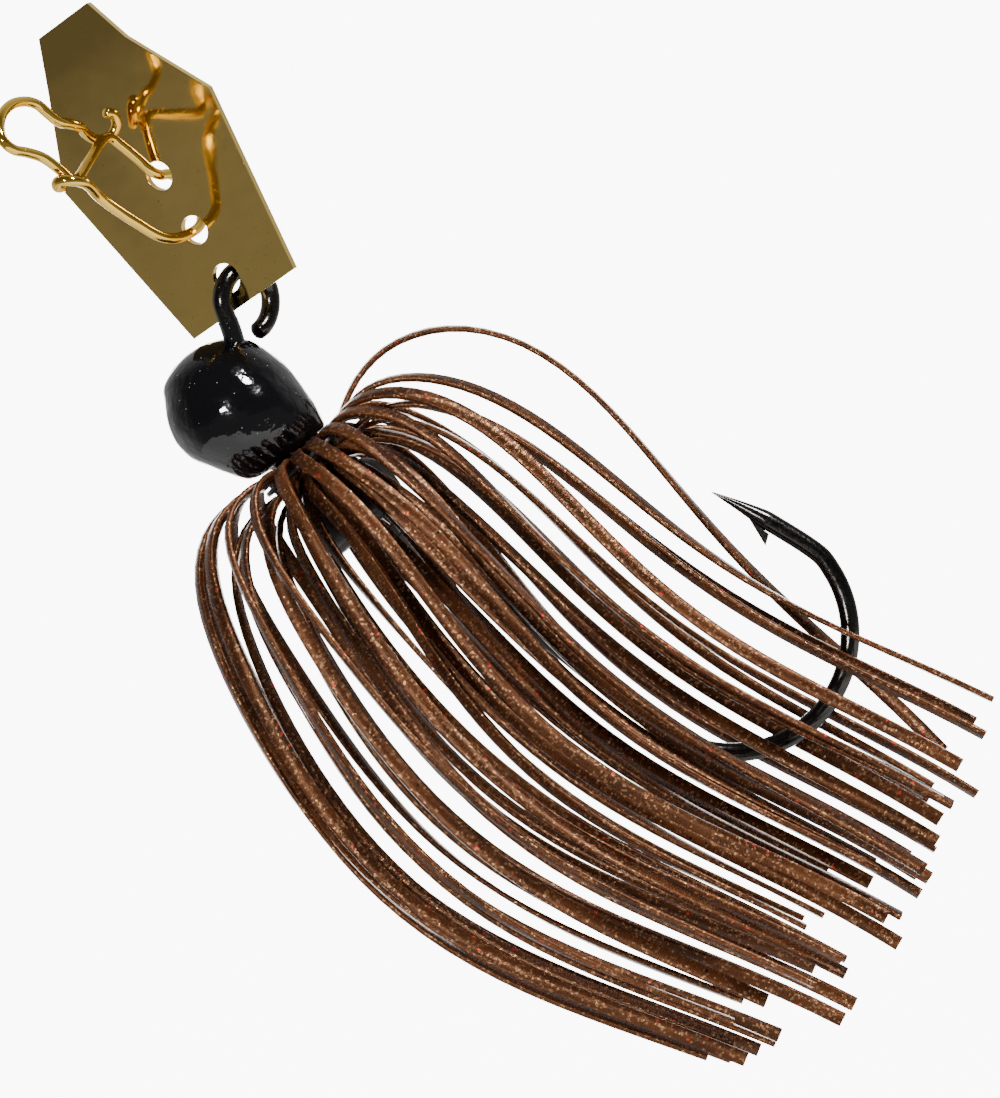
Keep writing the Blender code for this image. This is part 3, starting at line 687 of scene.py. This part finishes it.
def make_hook(place, paint):
    """The wire, forged flat round its bend and ground to a point, with its barb."""
    line, radii = rounded_ends(hook_route(HOOK_STEP), HOOK_WIRE / 2, HOOK_END)
    flats = []
    for i, p in enumerate(line):
        sharp = (p - POINT_TIP).length / POINT_LENGTH
        radii[i] *= min(1.0, POINT_BLUNT + (1.0 - POINT_BLUNT) * sharp)
        bent = max(0.0, min(1.0, (p.x - FORGED_FROM) / FORGED_OVER)) if p.y < FORGED_BELOW else 1.0
        flats.append(1.0 - (1.0 - FORGED) * bent)
    wire = sweep(line, radii, 24, OUT_OF_FLAT, flats)
    hook = mesh_piece("hook_wire", wire, place, paint, "jig", ["hook"], 60.0)
    barb = mesh_piece("barb_blank", barb_wedge(), place, paint, None)
    combine(hook, barb, "UNION")
    settle(hook, [barb])
    return hook


# --- head and what holds the skirt


def skirt_axis():
    return Vector((math.cos(SKIRT_TILT), math.sin(SKIRT_TILT), 0.0))


def spline(rows, share):
    """The values at share, from 0 to 1, along rows of numbers that a smooth curve passes through."""
    place = share * (len(rows) - 1)
    at = min(int(place), len(rows) - 2)
    t = place - at
    before, a, b, after = (rows[max(0, min(len(rows) - 1, at + k))] for k in (-1, 0, 1, 2))
    values = []
    for p0, p1, p2, p3 in zip(before, a, b, after):
        slope_in, slope_out = (p2 - p0) / 2, (p3 - p1) / 2
        values.append(
            (2 * t**3 - 3 * t**2 + 1) * p1 + (t**3 - 2 * t**2 + t) * slope_in
            + (3 * t**2 - 2 * t**3) * p2 + (t**3 - t**2) * slope_out
        )
    return values


def make_head(place, paint):
    """The painted egg and its spigot, lumpy where the enamel ran."""
    builder = bmesh.new()
    rings = []
    for row in range(HEAD_ROWS):
        s, p, tilt, height, width = spline(HEAD_RINGS, row / (HEAD_ROWS - 1))
        up = Vector((-math.sin(math.radians(tilt)), math.cos(math.radians(tilt)), 0.0))
        ring = []
        for out in ellipse(up * height, OUT_OF_FLAT * width, HEAD_SIDES):
            spot = Vector((s, p, 0.0)) + out
            lump = sum(noise.noise(spot * fine) * HEAD_LUMPS * share for fine, share in LUMP_NOISES)
            lump *= min(1.0, height / HEAD_LUMPS_FULL)
            ring.append(builder.verts.new(spot + out.normalized() * lump))
        rings.append(ring)
    axis = skirt_axis()
    side = Vector((-axis.y, axis.x, 0.0))
    spigot = ((0.0, SPIGOT_R), (SPIGOT_END - SPIGOT_ROUND, SPIGOT_R), (SPIGOT_END, SPIGOT_R - SPIGOT_ROUND))
    for along, radius in spigot:
        ring = ellipse(side * radius, OUT_OF_FLAT * radius, HEAD_SIDES)
        rings.append([builder.verts.new(SKIRT_CENTRE + axis * along + out) for out in ring])
    bridge_rings(builder, rings, True)
    return mesh_piece("painted_head", builder, place, paint, "jig", ["head"])


def make_meniscus(place, paint):
    """The enamel that climbed the hook's stem where it leaves the head."""
    near, far = MENISCUS_S
    wire = hook_route(MENISCUS_STEP)
    stem = [p for p in wire if near < p.x < far and p.y < MENISCUS_P and p.z > MENISCUS_V]
    radii = []
    for i in range(len(stem)):
        flare = max(0.0, i / (len(stem) - 1) - MENISCUS_FLARE_FROM)
        radii.append(HOOK_WIRE / 2 + MENISCUS_THICK + MENISCUS_FLARE * flare ** 2)
    return mesh_piece("paint_meniscus", sweep(stem, radii, 24), place, paint, "jig", (), 60.0)


def make_band(place, paint):
    inner, outer, start, end = BAND
    low, high = outer - BAND_ROUND, outer - BAND_ROUND * 0.3
    profile = (
        (start, inner), (start, low), (start + BAND_ROUND * 0.3, high), (start + BAND_ROUND, outer),
        (end - BAND_ROUND, outer), (end - BAND_ROUND * 0.3, high), (end, low), (end, inner),
    )
    builder = turned(profile, SKIRT_CENTRE, skirt_axis(), 72, True)
    return mesh_piece("rubber_band", builder, place, paint, "jig", ["skirt_band"])


def make_collar(place, paint):
    """The flared collar, with the ribs that its mould left down its outside."""
    fine = smooth_route([Vector((*p, 0.0)) for p in COLLAR_PROFILE], COLLAR_STEP)
    axis = skirt_axis()
    builder = turned([(p.x, p.y) for p in fine], SKIRT_CENTRE, axis, 96)
    for vert in builder.verts:
        foot = SKIRT_CENTRE + axis * (vert.co - SKIRT_CENTRE).dot(axis)
        out = vert.co - foot
        angle = math.atan2(out.z, out.y)
        vert.co -= out * RIB_SHARE * (0.5 + 0.5 * math.cos(angle * COLLAR_RIBS))
    return mesh_piece("flared_collar", builder, place, paint, "jig", ["flare_collar"], 60.0)


def make_keeper(place, paint):
    """The sleeve on the shank, with barbs that slope down towards the hook's bend."""
    start, end = KEEPER
    axis = (BEND_START - SHANK_START).normalized()
    origin = SHANK_START - axis * SHANK_START.x
    inner = HOOK_WIRE / 2 + KEEPER_GAP
    profile = [(start, inner), (start, KEEPER_R - KEEPER_ROUND), (start + KEEPER_ROUND, KEEPER_R)]
    for i in range(KEEPER_BARBS):
        foot = start + (end - start) * (i + KEEPER_BARB_AT) / KEEPER_BARBS
        peak = KEEPER_R + KEEPER_BARB_HEIGHT
        profile += [(foot, KEEPER_R), (foot + KEEPER_BARB_RISE / 2, peak - 0.06)]
        profile += [(foot + KEEPER_BARB_RISE, peak), (foot + KEEPER_BARB_RUN, KEEPER_R)]
    profile += [(end - KEEPER_ROUND, KEEPER_R), (end, KEEPER_R - KEEPER_ROUND), (end, inner)]
    builder = turned(profile, origin, axis, 48, True)
    return mesh_piece("bait_keeper", builder, place, paint, "jig", ["trailer_keeper"])


# --- skirt


def skirt_drift(s):
    """How far across the shank the skirt's middle lies at s: it sags, and lifts again at the tips."""
    share = max(0.0, min(1.0, (s - SKIRT_CENTRE.x) / SKIRT_LENGTH))
    sag = 0.5 - 0.5 * math.cos(math.tau * share)
    return SKIRT_CENTRE.y - SKIRT_SAG * sag + SKIRT_LIFT * share ** 4


def bezier(a, b, c, d, t):
    """The point at t, from 0 to 1, on the flat curve with these four control points."""
    shares = ((1 - t) ** 3, 3 * t * (1 - t) ** 2, 3 * t * t * (1 - t), t ** 3)
    return [sum(share * point[i] for share, point in zip(shares, (a, b, c, d))) for i in range(2)]


def strand_route(angle, root, leave, flare, tip, reach, number):
    """A strand's centreline in the jig's frame: along the spigot, out over the collar, down to its tip."""
    axis = skirt_axis()
    tilted = Vector((-axis.y, axis.x, 0.0))
    out = tilted * math.cos(angle) + OUT_OF_FLAT * math.sin(angle)
    turn = SKIRT_CENTRE + axis * leave
    route = [SKIRT_CENTRE + axis * STRAND_START + out * root, turn + out * root]
    fold = FOLD_BACK * max(0.0, (flare - FOLD_FROM) / FOLD_OVER) ** 1.5
    crest = (turn.x - fold, root + CREST_SHARE * flare)
    shoulder = (turn.x + SHOULDER_AT, SHOULDER_SHARE * flare)
    drift = math.radians(WANDER * math.sin(DRIFT_EACH * number))
    for step in range(1, STRAND_POINTS + 1):
        t = step / STRAND_POINTS
        s, r = bezier((turn.x, root), crest, shoulder, (reach, tip), t)
        sway = WAVE * math.sin(math.pi * t) * math.sin(SWAY_EACH * number + SWAY_ALONG * t)
        now = angle + drift * t ** 1.5 + sway / r
        up = tilted.lerp(Vector((0.0, 1.0, 0.0)), t)
        depth = root + (r - root) * DEPTH_SHARE
        middle = Vector((s, skirt_drift(s), 0.0))
        route.append(middle + up * math.cos(now) * r + OUT_OF_FLAT * math.sin(now) * depth)
    return resample(route, STRAND_POINTS, STRAND_CROWDING)


def strip_section():
    """The outline of a cut strip: flat faces, and corners barely round."""
    w, h, r = STRAND_WIDTH / 2, STRAND_THICK / 2, STRAND_CORNER
    return (
        (w, -h + r), (w, h - r), (w - r, h), (0.0, h), (r - w, h), (-w, h - r),
        (-w, r - h), (r - w, -h), (0.0, -h), (w - r, -h),
    )


def make_strand(number, route, angle, place, paint):
    """A flat strip along its route. It starts with its face outwards, and turns a little on the way."""
    section = strip_section()
    around = [0.0]
    for (x0, y0), (x1, y1) in zip(section, section[1:] + section[:1]):
        around.append(around[-1] + math.hypot(x1 - x0, y1 - y0))
    edge = Vector((0.0, -math.sin(angle), math.cos(angle)))
    builder = bmesh.new()
    strip = builder.loops.layers.uv.new("strip")
    rings = []
    run = [0.0]
    total = line_length(route)
    for i, point in enumerate(route):
        ahead = (route[min(i + 1, len(route) - 1)] - route[max(i - 1, 0)]).normalized()
        if i:
            run.append(run[-1] + (point - route[i - 1]).length)
        share = run[-1] / total
        twist = STRAND_TWIST * math.sin(TURN_EACH * number) * math.sin(0.5 * math.pi * share)
        twist += STRAND_ROCK * math.sin(ROCK_ALONG * share + number)
        wide = (edge - ahead * edge.dot(ahead)).normalized()
        wide = Matrix.Rotation(twist * min(1.0, share * TWIST_EASE), 3, ahead) @ wide
        thin = ahead.cross(wide)
        rings.append([builder.verts.new(point + wide * x + thin * y) for x, y in section])
    start = PATTERN_SHIFT * number
    for i, (lower, upper) in enumerate(zip(rings, rings[1:])):
        for k, vert in enumerate(lower):
            after = (k + 1) % len(section)
            face = builder.faces.new((vert, lower[after], upper[after], upper[k]))
            corners = ((k, i), (k + 1, i), (k + 1, i + 1), (k, i + 1))
            for loop, (across, down) in zip(face.loops, corners):
                loop[strip].uv = (around[across], start + run[down])
    for cap in (rings[0], rings[-1]):
        face = builder.faces.new(cap)
        for loop, (x, y) in zip(face.loops, section):
            loop[strip].uv = (x, start + y)
    name = f"strand_{number + 1:02d}"
    return mesh_piece("silicone_" + name, builder, place, paint, "jig", [name], 50.0)


def make_skirt(place, paint):
    """Every strand."""
    made = []
    for root, leave, first, last, crowd, shapes in STRAND_RINGS:
        for i, (flare, tip, reach) in enumerate(shapes):
            number = len(made)
            angle = math.radians(first + (last - first) * i / (len(shapes) - 1))
            angle += crowd * math.cos(angle)
            route = strand_route(angle, root, leave, flare, tip, reach, number)
            piece = make_strand(number, route, angle, place, paint)
            made.append((line_length(route), number, piece, route))


# --- studio


def make_camera():
    """A long lens that looks straight along +Y, rolled so that the hanging lure lies across the picture."""
    right = Vector((math.cos(VIEW_ROLL), 0.0, -math.sin(VIEW_ROLL)))
    up = Vector((math.sin(VIEW_ROLL), 0.0, math.cos(VIEW_ROLL)))
    back = Vector((0.0, -1.0, 0.0))
    data = bpy.data.cameras.new("camera")
    data.sensor_width = SENSOR
    data.sensor_fit = "AUTO"
    data.lens = SENSOR * VIEW_DISTANCE / VIEW_HEIGHT
    data.clip_start = 0.05
    data.clip_end = 20.0
    camera = bpy.data.objects.new("camera", data)
    bpy.context.scene.collection.objects.link(camera)
    place = Matrix((right, up, back)).transposed().to_4x4()
    camera.matrix_world = Matrix.Translation((VIEW_CENTRE + back * VIEW_DISTANCE) * MM) @ place
    bpy.context.scene.camera = camera


def soft_light(name, place, size, power):
    data = bpy.data.lights.new(name, "AREA")
    data.shape = "DISK"
    data.size = size
    data.energy = power
    light = bpy.data.objects.new(name, data)
    bpy.context.scene.collection.objects.link(light)
    light.location = place
    aim = VIEW_CENTRE * MM - Vector(place)
    light.rotation_euler = aim.to_track_quat("-Z", "Y").to_euler()


def make_studio():
    """A white wall of light behind, a dimmer room in front, two soft lights and a pale floor."""
    scene = bpy.context.scene
    world = bpy.data.worlds.new("studio")
    scene.world = world
    world.use_nodes = True
    tree = world.node_tree
    background = tree.nodes["Background"]
    source = tree.nodes.new("ShaderNodeTexCoord")
    split = tree.nodes.new("ShaderNodeSeparateXYZ")
    tree.links.new(source.outputs["Generated"], split.inputs["Vector"])
    strength = None
    for axis, start, end, low, high in WORLD_STEPS:
        fade = tree.nodes.new("ShaderNodeMapRange")
        fade.interpolation_type = "SMOOTHSTEP"
        for name, value in (("From Min", start), ("From Max", end), ("To Min", low), ("To Max", high)):
            fade.inputs[name].default_value = value
        tree.links.new(split.outputs[axis], fade.inputs["Value"])
        total = tree.nodes.new("ShaderNodeMath")
        total.inputs[1].default_value = 0.0
        tree.links.new(fade.outputs["Result"], total.inputs[0])
        if strength:
            tree.links.new(strength, total.inputs[1])
        strength = total.outputs["Value"]
    tree.links.new(strength, background.inputs["Strength"])
    background.inputs["Color"].default_value = (1.0, 1.0, 1.0, 1.0)
    for light in SOFT_LIGHTS:
        soft_light(*light)
    builder = bmesh.new()
    bmesh.ops.create_circle(builder, cap_ends=True, segments=96, radius=FLOOR_R)
    mesh = bpy.data.meshes.new("floor")
    builder.to_mesh(mesh)
    builder.free()
    mesh.materials.append(Paint("pale_floor", (0.85, 0.85, 0.84), 0.7).material)
    floor = bpy.data.objects.new("floor", mesh)
    scene.collection.objects.link(floor)
    floor.location = (VIEW_CENTRE.x * MM, 0.0, FLOOR_Z)


def main():
    make_camera()
    snap_frame, blade_frame, jig_frame = place_frames()
    make_skirt(jig_frame, silicone_material())
    plate_gold = gold_material("gold_plate", (0.86, 0.61, 0.19), (0.6, 0.4, 0.1))
    wire_gold = gold_material("gold_plate", (0.84, 0.53, 0.09), (0.5, 0.3, 0.05))
    nickel = nickel_material()
    enamel = black_paint_material()
    rubber = rubber_material()
    make_snap(snap_frame, wire_gold)
    make_blade(blade_frame, plate_gold)
    make_hook(jig_frame, nickel)
    make_head(jig_frame, enamel)
    make_meniscus(jig_frame, enamel)
    make_band(jig_frame, rubber)
    make_collar(jig_frame, rubber)
    make_keeper(jig_frame, rubber)
    make_studio()


main()
